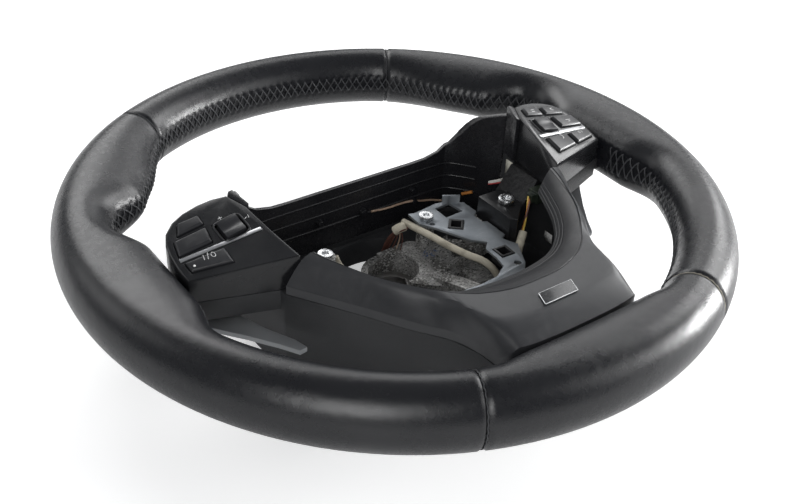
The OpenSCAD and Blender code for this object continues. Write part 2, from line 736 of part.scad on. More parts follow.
armature();
hub_insert();
rim_foam();
leather_upper();
leather_left();
leather_right();
leather_lower();
rear_cover();
upper_cover();
lower_trim();
badge_plate();
left_housing();
right_housing();
left_strip();
right_strip();
set_key();
resume_key();
power_key();
speed_rocker();
mode_key();
next_key();
source_key();
phone_key();
voice_key();
volume_rocker();
left_mat();
right_mat();
left_board();
right_board();
rocker_pins();
left_paddle();
right_paddle();
left_bracket();
right_bracket();
paddle_pins();
sheet_plate();
pan_screws();
module_screw();
latch_sockets();
control_module();
connector();
taped_harness();
feed_wires();
pod_wires();
code_label();
pad_sticker();
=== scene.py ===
"""Looks of a three-spoke leather steering wheel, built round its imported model."""

import math

import bmesh
import bpy
from mathutils import Matrix, Vector


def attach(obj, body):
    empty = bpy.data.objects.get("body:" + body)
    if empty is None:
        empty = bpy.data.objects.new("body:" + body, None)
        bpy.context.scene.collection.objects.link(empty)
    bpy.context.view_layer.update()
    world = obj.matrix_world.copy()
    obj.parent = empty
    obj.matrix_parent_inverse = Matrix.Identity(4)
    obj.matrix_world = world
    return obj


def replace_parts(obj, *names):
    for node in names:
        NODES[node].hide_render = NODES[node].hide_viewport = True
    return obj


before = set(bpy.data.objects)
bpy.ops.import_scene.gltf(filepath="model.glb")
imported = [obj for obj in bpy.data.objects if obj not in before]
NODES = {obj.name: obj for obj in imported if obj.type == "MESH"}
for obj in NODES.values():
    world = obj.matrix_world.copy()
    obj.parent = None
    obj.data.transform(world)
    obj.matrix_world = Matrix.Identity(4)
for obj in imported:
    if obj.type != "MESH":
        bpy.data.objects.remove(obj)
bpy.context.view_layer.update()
MM = 0.001
RIM_Z = 65.0

# Sizes of the grip, in millimetres and degrees, as the solids have them
RIM_R = 173.3
GRIP_A = 16.7
GRIP_B = 19.0
LOBE_IN = 14.5
WEB_X = 142.0
LOW_WEB_Y = 149.5
SEAM_GAP = 0.25
PANELS = {
    "leather_upper": (57, 123), "leather_left": (123, 246),
    "leather_right": (-66, 57), "leather_lower": (246, 294),
}

# Grid of a leather panel: degrees along the rim for each step, and steps round the section
PANEL_STEP = 0.55
PANEL_ACROSS = 84

# Rolled edge and zigzag thread of a seam: degrees along the rim, and depths and radius in millimetres
SEAM_ROLL = 0.5
SEAM_DEEP = 1.1
SEAM_ZIGZAG = 0.07
SEAM_DEPTH = 0.75
SEAM_THREAD = 0.32

# Cross stitch: pitch in degrees along the rim, half width and middle in degrees round the section
STITCH_PITCH = 1.9
STITCH_HALF = 15.0
STITCH_MID = 177.0

# Its thread, in millimetres: radius, and depth at its ends, its shoulders and where two threads cross
STITCH_THREAD = 0.38
STITCH_END = 0.7
STITCH_SHOULDER = -0.2
STITCH_CROSSING = {-1: -0.5, 1: 0.15}

# Leather drawn in by the cross stitch: valley, dimples and the swell between them, in millimetres
PUCKER_VALLEY = 0.45
PUCKER_HOLE = 0.55
PUCKER_SWELL = 0.35

# Frame of the left switch face, the right one being its mirror image
POD_ORIGIN = Vector((-95.0, -15.0, 22.0))
POD_X = Vector((0.98058, 0.0, 0.19612))
POD_Y = Vector((-0.04668, 0.97126, 0.23340))
POD_N = Vector((-0.19048, -0.23802, 0.95240))

# Keys, in millimetres: height of the top over the face, width and rise of the slope round it, soft edge
KEY_TOP = 1.75
KEY_SLOPE = 0.9
KEY_RISE = 0.95
KEY_EDGE = 0.28

# Roll of a pod's widest edge in millimetres, and sides and roundness of the rings round the rockers
POD_ROLL = 3.0
RING_SIDES = 24
RING_POWER = 0.35

# Half outlines of the lower trim in millimetres: outside, round the opening, and at the lip inside it
TRIM_OUT = ((0, -149.2), (20, -148.8), (36, -147), (42, -142), (44, -127), (49, -112.5),
            (61, -95.5), (76, -71), (96.5, -39.2))
TRIM_IN = ((0, -116), (16, -115), (31, -110), (41, -103.5), (49, -95.5), (57.5, -86),
           (66.5, -72.5), (74, -56), (80, -39.2))
TRIM_LIP = ((0, -94.5), (13, -94), (26, -92), (35, -89), (43, -84), (51, -76.5), (59.5, -65),
            (67, -51), (73, -39.2))

# Steps of the sweep between two places of an outline
TRIM_STEPS = 12

# Heights of the trim's top, foot and lip, its thickness and the lip's, in millimetres
TRIM_TOP = 18.0
TRIM_LOW = -2.0
TRIM_WALL = 2.5
LIP_Z = 5.0
LIP_T = 1.8

# Groove round the opening, in millimetres: distance from the edge, width and depth
GROOVE_IN = 0.9
GROOVE_WIDE = 1.0
GROOVE_DEEP = 0.55

# Slope inside the opening: steps across, its swell in millimetres, and places and depth of its fine lines
SLOPE_STEPS = 50
SLOPE_SWELL = 1.3
SLOPE_LINES = (0.66, 0.8, 0.92)
SLOPE_LINE_DEEP = 0.3

# Bright line round the badge plate, in millimetres
BADGE_CORNERS = ((-12, -135), (9, -135), (12, -127), (-9, -127))
BADGE_EDGE_Z = 18.7

# Inside of the upper cover, in millimetres: a rib's left half and middle, the heights of the ribs,
# the x, z and radius of each boss, and the y and length of all of them
RIB_HALF = ((-85, 29.5), (-79, 37.5), (-72, 44.0), (-60, 45.3), (-30, 45.4))
RIB_MIDDLE = (0, 45.4)
RIB_HEIGHTS = (-16.5, -25.5, -35.0)
BOSSES = ((8, -33.2, 2.6), (46, -29.0, 2.4), (47.5, -37.8, 2.4), (-24, -30.5, 2.4))
BOSS_Y = 44.2
BOSS_DEEP = 3.2

# Worn places of the leather and how far each reaches, in metres
NICKS = (((-0.174, -0.067, 0.077), 0.018), ((0.046, -0.170, 0.084), 0.008),
         ((-0.118, -0.146, 0.074), 0.016), ((0.080, -0.1595, 0.083), 0.020))

# Paint mark on the casting and its reach, and how far from the middle its arms turn black, in metres
PAINT_MARK = ((0.0275, -0.0005, 0.0190), 0.006)
BLACK_FROM = 0.066
BLACK_TO = 0.070

# Least angle of an edge that is softened in degrees, distances at which points are merged in metres,
# and roughness of the clear coat
EDGE_ANGLE = 35
SAME_POINT = 0.000002
SEWN_POINT = 0.000003
COAT_ROUGHNESS = 0.1

# The camera stands where the photograph was taken
CAMERA_AT = (-0.298265, -0.392671, 0.368166)
CAMERA_TO = (-0.030635, -0.040014, 0.065)
CAMERA_ROLL = 2.846
CAMERA_LENS = 46.02
CAMERA_SENSOR = 36

# Floor, sky, the place that all lights face, and each light's name, place, side and power,
# in metres and watts
FLOOR_Z = -0.0051
FLOOR_SIZE = 6.0
FLOOR_SHADE = 0.93
FLOOR_GLOW = 0.42
SKY_COLOUR = (0.86, 0.88, 0.92)
SKY_STRENGTH = 0.24
LIT_PLACE = (0, 0, 0.06)
LIGHTS = (
    ("back", (0.1, 1.3, 1.0), 1.0, 10), ("right_side", (1.5, 0.1, 0.8), 0.9, 14),
    ("low_right", (1.5, -0.6, 0.25), 0.5, 28), ("front_left", (-1.2, -1.1, 0.9), 0.9, 13),
    ("front_right", (1.0, -1.1, 0.7), 0.9, 5), ("back_right", (1.1, 1.0, 0.9), 0.9, 4),
    ("back_left", (-1.1, 1.1, 0.9), 0.9, 3),
)

# Plastics: low and high colour, low and high roughness, and what differs from plastic_skin's defaults
PLASTICS = {
    "smooth_plastic": ((0.011, 0.011, 0.013), (0.016, 0.016, 0.018), 0.26, 0.34, {"scratch": 0.25}),
    "gloss_plastic": ((0.012, 0.0125, 0.014), (0.018, 0.0185, 0.020), 0.22, 0.27,
                      {"scratch": 0.15, "texture": 0.000008}),
    "trim_plastic": ((0.030, 0.031, 0.034), (0.038, 0.039, 0.042), 0.33, 0.41,
                     {"scratch": 0.2, "texture": 0.00003}),
    "slope_plastic": ((0.022, 0.0225, 0.025), (0.028, 0.029, 0.031), 0.36, 0.46, {}),
    "key_plastic": ((0.016, 0.0165, 0.019), (0.022, 0.0225, 0.025), 0.30, 0.40, {}),
    "paddle_plastic": ((0.30, 0.31, 0.32), (0.36, 0.37, 0.38), 0.30, 0.40, {"scratch": 0.4}),
    "socket_plastic": ((0.006, 0.006, 0.007), (0.011, 0.011, 0.012), 0.35, 0.5, {}),
    "badge": ((0.035, 0.036, 0.038), (0.045, 0.046, 0.048), 0.22, 0.30, {"coat": 0.4}),
}

# Metals, in the same way
METALS = {
    "chrome": ((0.52, 0.53, 0.54), (0.62, 0.63, 0.64), 0.30, 0.40, {"scale": 90.0, "texture": 0.00001}),
    "steel": ((0.28, 0.27, 0.26), (0.40, 0.39, 0.38), 0.35, 0.55, {}),
    "bright_screw": ((0.62, 0.63, 0.64), (0.75, 0.76, 0.77), 0.20, 0.34, {"scale": 400.0}),
}

# Soft and matt stuffs: low and high colour, one roughness, and what differs from soft_skin's defaults
SOFTS = {
    "thread": ((0.035, 0.036, 0.040), (0.065, 0.067, 0.072), 0.5, {"texture": 0.0001}),
    "pale_thread": ((0.25, 0.23, 0.19), (0.42, 0.39, 0.32), 0.7, {"texture": 0.0001}),
    "foam": ((0.03, 0.03, 0.03), (0.045, 0.045, 0.045), 0.9, {"texture": 0.0003}),
    "key_mark": ((0.60, 0.60, 0.60), (0.72, 0.72, 0.72), 0.5, {}),
    "key_light": ((0.80, 0.80, 0.78), (0.90, 0.90, 0.88), 0.3, {"coat": 0.5}),
    "silicone": ((0.35, 0.35, 0.33), (0.42, 0.42, 0.40), 0.6, {}),
    "board": ((0.01, 0.09, 0.04), (0.015, 0.13, 0.055), 0.4, {}),
    "connector_plastic": ((0.012, 0.018, 0.012), (0.03, 0.04, 0.024), 0.4, {}),
    "brown_wire": ((0.085, 0.035, 0.025), (0.14, 0.06, 0.045), 0.4, {}),
    "orange_wire": ((0.45, 0.16, 0.03), (0.55, 0.22, 0.05), 0.4, {}),
    "yellow_wire": ((0.60, 0.42, 0.08), (0.68, 0.50, 0.12), 0.4, {}),
    "red_wire": ((0.42, 0.03, 0.04), (0.50, 0.06, 0.06), 0.4, {}),
    "white_wire": ((0.62, 0.60, 0.55), (0.72, 0.70, 0.66), 0.4, {}),
    "beige_wire": ((0.36, 0.25, 0.18), (0.46, 0.33, 0.24), 0.5, {}),
    "label": ((0.66, 0.64, 0.54), (0.72, 0.70, 0.60), 0.55, {}),
    "sticker": ((0.72, 0.72, 0.70), (0.78, 0.78, 0.76), 0.5, {}),
}

# Pieces that show the mesh of their node: node, material and width of its soft edges in millimetres,
# which is 0 for sharp ones
DRESSED = (
    ("armature", "casting", 0.6), ("hub_insert", "steel", 0.2), ("rear_cover", "grained_plastic", 1.0),
    ("upper_cover", "smooth_plastic", 0.7), ("left_strip", "chrome", 0.25),
    ("right_strip", "chrome", 0.25), ("badge_plate", "badge", 0.2),
    ("left_bracket", "socket_plastic", 0.3), ("right_bracket", "socket_plastic", 0.3),
    ("sheet_plate", "zinc", 0.25), ("pan_screws", "bright_screw", 0.25),
    ("module_screw", "bright_screw", 0.3), ("latch_sockets", "socket_plastic", 0.2),
    ("control_module", "socket_plastic", 0.5), ("connector", "connector_plastic", 0.3),
    ("code_label", "label", 0), ("pad_sticker", "sticker", 0),
)

# Hidden pieces, which keep their node's mesh and get only a material
HIDDEN = (("rim_foam", "foam"), ("left_mat", "silicone"), ("right_mat", "silicone"),
          ("left_board", "board"), ("right_board", "board"), ("rocker_pins", "steel"),
          ("paddle_pins", "steel"))


def smooth(a, b, v):
    """Rises smoothly from 0 at a to 1 at b."""
    t = min(1.0, max(0.0, (v - a) / (b - a)))
    return t * t * (3 - 2 * t)


def bump(v, centre, width):
    """A soft hump of height 1."""
    return math.exp(-((v - centre) / width) ** 2)


# Shader node groups, which give only values and colours

def make_group(name, inputs, outputs):
    """An empty node group with its sockets, and its in and out nodes."""
    g = bpy.data.node_groups.new(name, "ShaderNodeTree")
    for label, kind, value in inputs:
        s = g.interface.new_socket(label, in_out="INPUT", socket_type=kind)
        if value is not None:
            s.default_value = value
    for label, kind in outputs:
        g.interface.new_socket(label, in_out="OUTPUT", socket_type=kind)
    return g, g.nodes.new("NodeGroupInput"), g.nodes.new("NodeGroupOutput")


def add(tree, kind, **values):
    """A node with its properties and input defaults set."""
    n = tree.nodes.new(kind)
    for key, value in values.items():
        if hasattr(n, key):
            setattr(n, key, value)
        else:
            n.inputs[key.replace("_", " ")].default_value = value
    return n


def math_node(tree, operation, a, b=None, clamp=False):
    """Result of a math node fed with numbers or sockets."""
    n = tree.nodes.new("ShaderNodeMath")
    n.operation = operation
    n.use_clamp = clamp
    for i, v in enumerate((a, b)):
        if v is None:
            continue
        if isinstance(v, (int, float)):
            n.inputs[i].default_value = v
        else:
            tree.links.new(v, n.inputs[i])
    return n.outputs[0]


def mix_value(tree, factor, low, high):
    """Value going from low to high with a factor; low and high are numbers or sockets."""
    n = tree.nodes.new("ShaderNodeMapRange")
    tree.links.new(factor, n.inputs["Value"])
    for socket, v in (("To Min", low), ("To Max", high)):
        if isinstance(v, (int, float)):
            n.inputs[socket].default_value = v
        else:
            tree.links.new(v, n.inputs[socket])
    return n.outputs["Result"]


def patches_group():
    """Cloudy mask between 0 and 1, its softness set by the contrast."""
    g, gi, go = make_group("patches", [
        ("Vector", "NodeSocketVector", None), ("Scale", "NodeSocketFloat", 30.0),
        ("Low", "NodeSocketFloat", 0.4), ("High", "NodeSocketFloat", 0.6),
        ("Detail", "NodeSocketFloat", 4.0)], [("Mask", "NodeSocketFloat")])
    n = add(g, "ShaderNodeTexNoise")
    g.links.new(gi.outputs["Vector"], n.inputs["Vector"])
    g.links.new(gi.outputs["Scale"], n.inputs["Scale"])
    g.links.new(gi.outputs["Detail"], n.inputs["Detail"])
    m = add(g, "ShaderNodeMapRange", interpolation_type="SMOOTHSTEP")
    g.links.new(n.outputs["Fac"], m.inputs["Value"])
    g.links.new(gi.outputs["Low"], m.inputs["From Min"])
    g.links.new(gi.outputs["High"], m.inputs["From Max"])
    g.links.new(m.outputs["Result"], go.inputs["Mask"])
    return g


def grain_group():
    """Height of a pebbled grain: cells with soft creases between them."""
    g, gi, go = make_group("grain", [
        ("Vector", "NodeSocketVector", None), ("Scale", "NodeSocketFloat", 900.0)],
        [("Height", "NodeSocketFloat")])
    warp = add(g, "ShaderNodeTexNoise", Detail=2.0)
    scaled = math_node(g, "MULTIPLY", gi.outputs["Scale"], 0.6)
    g.links.new(gi.outputs["Vector"], warp.inputs["Vector"])
    g.links.new(scaled, warp.inputs["Scale"])
    v = add(g, "ShaderNodeTexVoronoi", feature="DISTANCE_TO_EDGE")
    g.links.new(gi.outputs["Vector"], v.inputs["Vector"])
    g.links.new(gi.outputs["Scale"], v.inputs["Scale"])
    crease = math_node(g, "MULTIPLY", v.outputs["Distance"], 3.0, clamp=True)
    soft = math_node(g, "POWER", crease, 0.6)
    total = math_node(g, "ADD", soft, math_node(g, "MULTIPLY", warp.outputs["Fac"], 0.5))
    g.links.new(total, go.inputs["Height"])
    return g


def scratch_group():
    """Thin scratches, stretched noise cut to narrow lines."""
    g, gi, go = make_group("scratches", [
        ("Vector", "NodeSocketVector", None), ("Scale", "NodeSocketFloat", 60.0),
        ("Amount", "NodeSocketFloat", 0.5)], [("Mask", "NodeSocketFloat")])
    mapping = add(g, "ShaderNodeMapping")
    mapping.inputs["Rotation"].default_value = (0.4, 0.2, 0.7)
    mapping.inputs["Scale"].default_value = (1.0, 14.0, 14.0)
    g.links.new(gi.outputs["Vector"], mapping.inputs["Vector"])
    n = add(g, "ShaderNodeTexNoise", Detail=3.0)
    g.links.new(mapping.outputs["Vector"], n.inputs["Vector"])
    g.links.new(gi.outputs["Scale"], n.inputs["Scale"])
    m = add(g, "ShaderNodeMapRange", From_Min=0.68, From_Max=0.74)
    g.links.new(n.outputs["Fac"], m.inputs["Value"])
    g.links.new(math_node(g, "MULTIPLY", m.outputs["Result"], gi.outputs["Amount"]), go.inputs["Mask"])
    return g


PATCHES = patches_group()
GRAIN = grain_group()
SCRATCHES = scratch_group()


class Skin:
    """A material being built: its tree, shader and object coordinates."""

    def __init__(self, name, colour, roughness, metallic=0.0, coat=0.0):
        self.material = bpy.data.materials.new(name)
        self.material.use_nodes = True
        self.tree = self.material.node_tree
        self.shader = self.tree.nodes["Principled BSDF"]
        self.coords = self.tree.nodes.new("ShaderNodeTexCoord").outputs["Object"]
        self.shader.inputs["Base Color"].default_value = (*colour, 1)
        self.shader.inputs["Roughness"].default_value = roughness
        self.shader.inputs["Metallic"].default_value = metallic
        self.shader.inputs["Coat Weight"].default_value = coat
        self.shader.inputs["Coat Roughness"].default_value = COAT_ROUGHNESS

    def use(self, group, **values):
        """One of the shared groups fed with the object coordinates."""
        n = self.tree.nodes.new("ShaderNodeGroup")
        n.node_tree = group
        self.tree.links.new(self.coords, n.inputs["Vector"])
        for key, value in values.items():
            n.inputs[key].default_value = value
        return n.outputs[0]

    def colours(self, mask, low, high):
        """Base colour blended from low to high by a mask."""
        n = add(self.tree, "ShaderNodeMix", data_type="RGBA")
        self.tree.links.new(mask, n.inputs["Factor"])
        for socket, v in ((6, low), (7, high)):
            if hasattr(v, "is_linked"):
                self.tree.links.new(v, n.inputs[socket])
            else:
                n.inputs[socket].default_value = (*v, 1)
        self.tree.links.new(n.outputs[2], self.shader.inputs["Base Color"])
        return n.outputs[2]

    def near(self, place, reach):
        """Mask that is 1 round a place and fades out at reach, both in metres."""
        n = add(self.tree, "ShaderNodeVectorMath", operation="DISTANCE")
        self.tree.links.new(self.coords, n.inputs[0])
        n.inputs[1].default_value = place
        m = add(self.tree, "ShaderNodeMapRange", From_Min=reach, From_Max=0.4 * reach)
        self.tree.links.new(n.outputs["Value"], m.inputs["Value"])
        return m.outputs["Result"]

    def rough(self, mask, low, high):
        """Roughness going from low to high by a mask."""
        self.tree.links.new(mix_value(self.tree, mask, low, high), self.shader.inputs["Roughness"])

    def relief(self, height, distance, strength):
        """Bump laid over the ones that are there, its distance in metres."""
        n = add(self.tree, "ShaderNodeBump", Strength=strength, Distance=distance)
        self.tree.links.new(height, n.inputs["Height"])
        before = self.shader.inputs["Normal"]
        if before.is_linked:
            self.tree.links.new(before.links[0].from_socket, n.inputs["Normal"])
        self.tree.links.new(n.outputs["Normal"], before)


def leather_skin():
    """Smooth leather with a fine grain, shinier where worn, and pale strokes at its nicks."""
    s = Skin("leather", (0.012, 0.0125, 0.015), 0.36)
    wear = s.use(PATCHES, Scale=14.0, Low=0.42, High=0.68)
    fine = s.use(PATCHES, Scale=260.0, Low=0.3, High=0.7)
    base = s.colours(wear, (0.0065, 0.007, 0.009), (0.0125, 0.013, 0.015))
    strokes = s.use(SCRATCHES, Scale=330.0, Amount=1.0)
    for place, reach in NICKS:
        spot = s.near(place, reach)
        base = s.colours(math_node(s.tree, "MULTIPLY", spot, strokes), base, (0.22, 0.22, 0.21))
    s.rough(wear, mix_value(s.tree, fine, 0.25, 0.33), 0.22)
    s.relief(s.use(GRAIN, Scale=1300.0), 0.00005, 0.6)
    s.relief(s.use(PATCHES, Scale=90.0, Low=0.2, High=0.8), 0.0003, 0.35)
    return s.material


def grained_skin():
    """Matt plastic with a pebbled grain."""
    s = Skin("grained_plastic", (0.02, 0.021, 0.023), 0.5)
    tone = s.use(PATCHES, Scale=25.0, Low=0.35, High=0.7)
    s.colours(tone, (0.018, 0.019, 0.021), (0.028, 0.029, 0.031))
    s.rough(tone, 0.46, 0.56)
    s.relief(s.use(GRAIN, Scale=1500.0), 0.00012, 0.8)
    return s.material


def plastic_skin(name, low, high, rough_low, rough_high, coat=0.0, scratch=0.0, texture=0.00002):
    """Moulded plastic with dusty spots and, for a scratch above 0, fine scratches."""
    s = Skin(name, low, rough_low, coat=coat)
    tone = s.use(PATCHES, Scale=40.0, Low=0.35, High=0.7)
    s.colours(tone, low, high)
    dust = s.use(PATCHES, Scale=300.0, Low=0.45, High=0.7)
    rough = mix_value(s.tree, dust, rough_low, rough_high)
    if scratch:
        marks = s.use(SCRATCHES, Scale=70.0, Amount=scratch)
        rough = math_node(s.tree, "ADD", rough, math_node(s.tree, "MULTIPLY", marks, 0.25))
    s.tree.links.new(rough, s.shader.inputs["Roughness"])
    s.relief(s.use(PATCHES, Scale=2600.0, Low=0.2, High=0.8, Detail=2.0), texture, 0.6)
    return s.material


def metal_skin(name, low, high, rough_low, rough_high, scale=60.0, texture=0.00004):
    """Bare metal whose tone and sheen change from place to place."""
    s = Skin(name, low, rough_low, metallic=1.0)
    tone = s.use(PATCHES, Scale=scale, Low=0.35, High=0.68)
    s.colours(tone, low, high)
    s.rough(s.use(PATCHES, Scale=scale * 3, Low=0.35, High=0.7), rough_low, rough_high)
    s.relief(s.use(PATCHES, Scale=scale * 12, Low=0.2, High=0.8), texture, 0.6)
    return s.material


def casting_skin():
    """Rough die casting with dark stains and a faint blue paint mark, its arms black outside."""
    s = Skin("casting", (0.18, 0.18, 0.175), 0.6, metallic=0.35)
    stain = s.use(PATCHES, Scale=75.0, Low=0.42, High=0.62, Detail=6.0)
    base = s.colours(stain, (0.30, 0.297, 0.288), (0.13, 0.127, 0.12))
    spots = s.use(PATCHES, Scale=650.0, Low=0.50, High=0.62)
    speckled = s.colours(spots, base, (0.46, 0.455, 0.44))
    pits = s.use(PATCHES, Scale=900.0, Low=0.56, High=0.64)
    worn = s.colours(pits, speckled, (0.03, 0.03, 0.028))
    streak = s.use(PATCHES, Scale=500.0, Low=0.5, High=0.62)
    mark = math_node(s.tree, "MULTIPLY", s.near(*PAINT_MARK), streak)
    marked = s.colours(mark, worn, (0.03, 0.10, 0.30))
    place = add(s.tree, "ShaderNodeSeparateXYZ")
    s.tree.links.new(s.coords, place.inputs[0])
    # The arms are coloured black from BLACK_FROM outwards from the middle, with a soft edge up to BLACK_TO
    black_arm_ends = add(s.tree, "ShaderNodeMapRange", From_Min=BLACK_FROM, From_Max=BLACK_TO)
    s.tree.links.new(math_node(s.tree, "ABSOLUTE", place.outputs["X"]), black_arm_ends.inputs["Value"])
    s.colours(black_arm_ends.outputs["Result"], marked, (0.012, 0.012, 0.013))
    s.rough(stain, 0.48, 0.68)
    s.relief(s.use(PATCHES, Scale=330.0, Low=0.2, High=0.8, Detail=6.0), 0.0006, 0.8)
    s.relief(math_node(s.tree, "SUBTRACT", 1.0, pits), 0.0003, 0.6)
    return s.material


def zinc_skin():
    """Zinc-plated sheet with light scratches."""
    s = Skin("zinc", (0.25, 0.27, 0.29), 0.45, metallic=0.7)
    tone = s.use(PATCHES, Scale=55.0, Low=0.35, High=0.7)
    base = s.colours(tone, (0.22, 0.24, 0.26), (0.29, 0.31, 0.33))
    marks = s.use(SCRATCHES, Scale=90.0, Amount=0.5)
    s.colours(marks, base, (0.42, 0.44, 0.46))
    s.rough(s.use(PATCHES, Scale=180.0, Low=0.3, High=0.7), 0.42, 0.55)
    s.relief(s.use(PATCHES, Scale=900.0, Low=0.2, High=0.8), 0.00002, 0.4)
    return s.material


def tape_skin():
    """Cloth tape wound round a loom."""
    s = Skin("tape", (0.50, 0.47, 0.38), 0.85)
    dirt = s.use(PATCHES, Scale=160.0, Low=0.4, High=0.72)
    s.colours(dirt, (0.56, 0.52, 0.42), (0.36, 0.33, 0.26))
    wave = add(s.tree, "ShaderNodeTexWave", Scale=260.0, Distortion=3.0, Detail=2.0)
    s.tree.links.new(s.coords, wave.inputs["Vector"])
    s.relief(wave.outputs["Fac"], 0.0002, 0.5)
    s.rough(dirt, 0.8, 0.9)
    return s.material


def soft_skin(name, low, high, rough, texture=0.00005, coat=0.0):
    """Matt or rubbery stuff with a slight change of tone."""
    s = Skin(name, low, rough, coat=coat)
    tone = s.use(PATCHES, Scale=220.0, Low=0.35, High=0.7)
    s.colours(tone, low, high)
    s.rough(tone, max(0.0, rough - 0.05), min(1.0, rough + 0.06))
    s.relief(s.use(PATCHES, Scale=1800.0, Low=0.2, High=0.8), texture, 0.6)
    return s.material


def make_skins():
    """All materials of the wheel by name."""
    skins = {"leather": leather_skin(), "grained_plastic": grained_skin(), "zinc": zinc_skin(),
             "casting": casting_skin(), "tape": tape_skin()}
    for kind, table in ((plastic_skin, PLASTICS), (metal_skin, METALS), (soft_skin, SOFTS)):
        for name, (*values, more) in table.items():
            skins[name] = kind(name, *values, **more)
    return skins


SKINS = make_skins()


# Making pieces

def new_piece(name, bm, skin, body="wheel", smooth_angle=None):
    """A mesh object from a bmesh, with its material and the body that it rides on."""
    mesh = bpy.data.meshes.new(name)
    bm.to_mesh(mesh)
    bm.free()
    mesh.shade_smooth()
    if smooth_angle is not None:
        mesh.set_sharp_from_angle(angle=math.radians(smooth_angle))
    mesh.materials.append(SKINS[skin])
    obj = bpy.data.objects.new(name, mesh)
    bpy.context.scene.collection.objects.link(obj)
    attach(obj, body)
    return obj


def bevel_modifier(obj, width, segments=2):
    """Softened edges, their width in millimetres."""
    m = obj.modifiers.new("edges", "BEVEL")
    m.width = width * MM
    m.segments = segments
    m.limit_method = "ANGLE"
    m.angle_limit = math.radians(EDGE_ANGLE)
    m.harden_normals = True
    m.use_clamp_overlap = True
    return m


def clean_copy(node):
    """A node's mesh with its doubles merged and its flat faces joined."""
    bm = bmesh.new()
    bm.from_mesh(NODES[node].data)
    bmesh.ops.remove_doubles(bm, verts=bm.verts, dist=SAME_POINT)
    bmesh.ops.dissolve_limit(bm, angle_limit=math.radians(1.0), verts=bm.verts, edges=bm.edges)
    return bm


def dressed(node, skin, width, segments=2, body="wheel"):
    """Copy of a node's mesh with clean faces, softened edges and its own material."""
    obj = new_piece(node + "_look", clean_copy(node), skin, body)
    if width:
        bevel_modifier(obj, width, segments)
    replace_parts(obj, node)


def wheel_point(x, y, z):
    """A place given in millimetres from the rim's centre."""
    return Vector((x * MM, y * MM, (z + RIM_Z) * MM))


def mapped_grid(along, across, place):
    """A grid over u and v from 0 to 1, bent to the places that a function gives and sewn where it meets."""
    bm = bmesh.new()
    bmesh.ops.create_grid(bm, x_segments=along, y_segments=across, size=0.5)
    for v in bm.verts:
        v.co = place(v.co.x + 0.5, v.co.y + 0.5)
    bmesh.ops.remove_doubles(bm, verts=bm.verts, dist=SEWN_POINT)
    bmesh.ops.recalc_face_normals(bm, faces=bm.faces)
    return bm


def wire(name, routes, radius, skin, body="wheel", resolution=3, steps=6):
    """Round wires or threads along lists of places in metres."""
    curve = bpy.data.curves.new(name, "CURVE")
    curve.dimensions = "3D"
    curve.bevel_depth = radius * MM
    curve.bevel_resolution = resolution
    curve.resolution_u = steps
    curve.use_fill_caps = True
    for route in routes:
        s = curve.splines.new("BEZIER")
        s.bezier_points.add(len(route) - 1)
        for p, co in zip(s.bezier_points, route):
            p.co = co
            p.handle_left_type = "AUTO"
            p.handle_right_type = "AUTO"
    path = bpy.data.objects.new(name + "_path", curve)
    bpy.context.scene.collection.objects.link(path)
    shown = path.evaluated_get(bpy.context.evaluated_depsgraph_get())
    mesh = bpy.data.meshes.new_from_object(shown)
    bpy.data.objects.remove(path)
    mesh.name = name
    mesh.materials.clear()
    mesh.materials.append(SKINS[skin])
    obj = bpy.data.objects.new(name, mesh)
    bpy.context.scene.collection.objects.link(obj)
    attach(obj, body)
    return obj


def held_wire(name, routes, radius, skin, resolution=3):
    """Wires on the wheel, along lists of places in millimetres from the rim's centre."""
    placed = [[wheel_point(*p) for p in route] for route in routes]
    return wire(name, placed, radius, skin, resolution=resolution)


# The leather grip

def from_top(t):
    """Degrees between a wheel angle and 12 o'clock."""
    return abs(((t - 90 + 540) % 360) - 180)


def web(t):
    """How far the leather is drawn out to a spoke at a wheel angle, from 0 to 1."""
    u = from_top(t)
    side = smooth(71, 84, u) * (1 - smooth(104, 116, u))
    return max(side, smooth(155, 166, u))


def inner_half(t):
    """Width of the grip from its middle line to its inner edge at a wheel angle."""
    u = from_top(t)
    rad = math.radians(t)
    if u < 130:
        edge = WEB_X / max(0.2, abs(math.cos(rad)))
    else:
        edge = LOW_WEB_Y / max(0.2, abs(math.sin(rad)))
    lobe = smooth(28, 52, u) * (1 - smooth(58, 69, u))
    return GRIP_A + LOBE_IN * lobe + web(t) * (RIM_R - GRIP_A - edge)


def spow(v, p):
    """Power that keeps the sign."""
    return math.copysign(abs(v) ** p, v)


def grip_point(t, f, depth):
    """A place on the grip: wheel angle, angle round the section and depth below the skin."""
    c = math.cos(math.radians(f))
    s = math.sin(math.radians(f))
    w = web(t)
    q = 1 - 0.5 * w if c < 0 else 1.0
    half = (inner_half(t) if c < 0 else GRIP_A) - depth
    r = RIM_R + half * spow(c, q)
    z = (GRIP_B - depth) * spow(s, q) * (1 - 0.14 * w * abs(c) if c < 0 else 1.0)
    rad = math.radians(t)
    return wheel_point(r * math.cos(rad), r * math.sin(rad), z)


def stitched(t):
    """Where the inner cross stitch shows: away from the spokes."""
    u = from_top(t)
    return u < 74 or 101 < u < 160


def pucker(t, f):
    """Depth of the valley under the cross stitch and of the dimples at its holes."""
    if not stitched(t):
        return 0.0
    away = abs(f - STITCH_MID)
    valley = PUCKER_VALLEY * bump(away, 0, STITCH_HALF * 0.6)
    wave = 0.5 + 0.5 * math.cos(math.radians(t) * 360 / STITCH_PITCH)
    hole = PUCKER_HOLE * wave * bump(away, STITCH_HALF, 3.5)
    return valley + hole - PUCKER_SWELL * (1 - wave) * bump(away, STITCH_HALF * 1.05, 5.0)


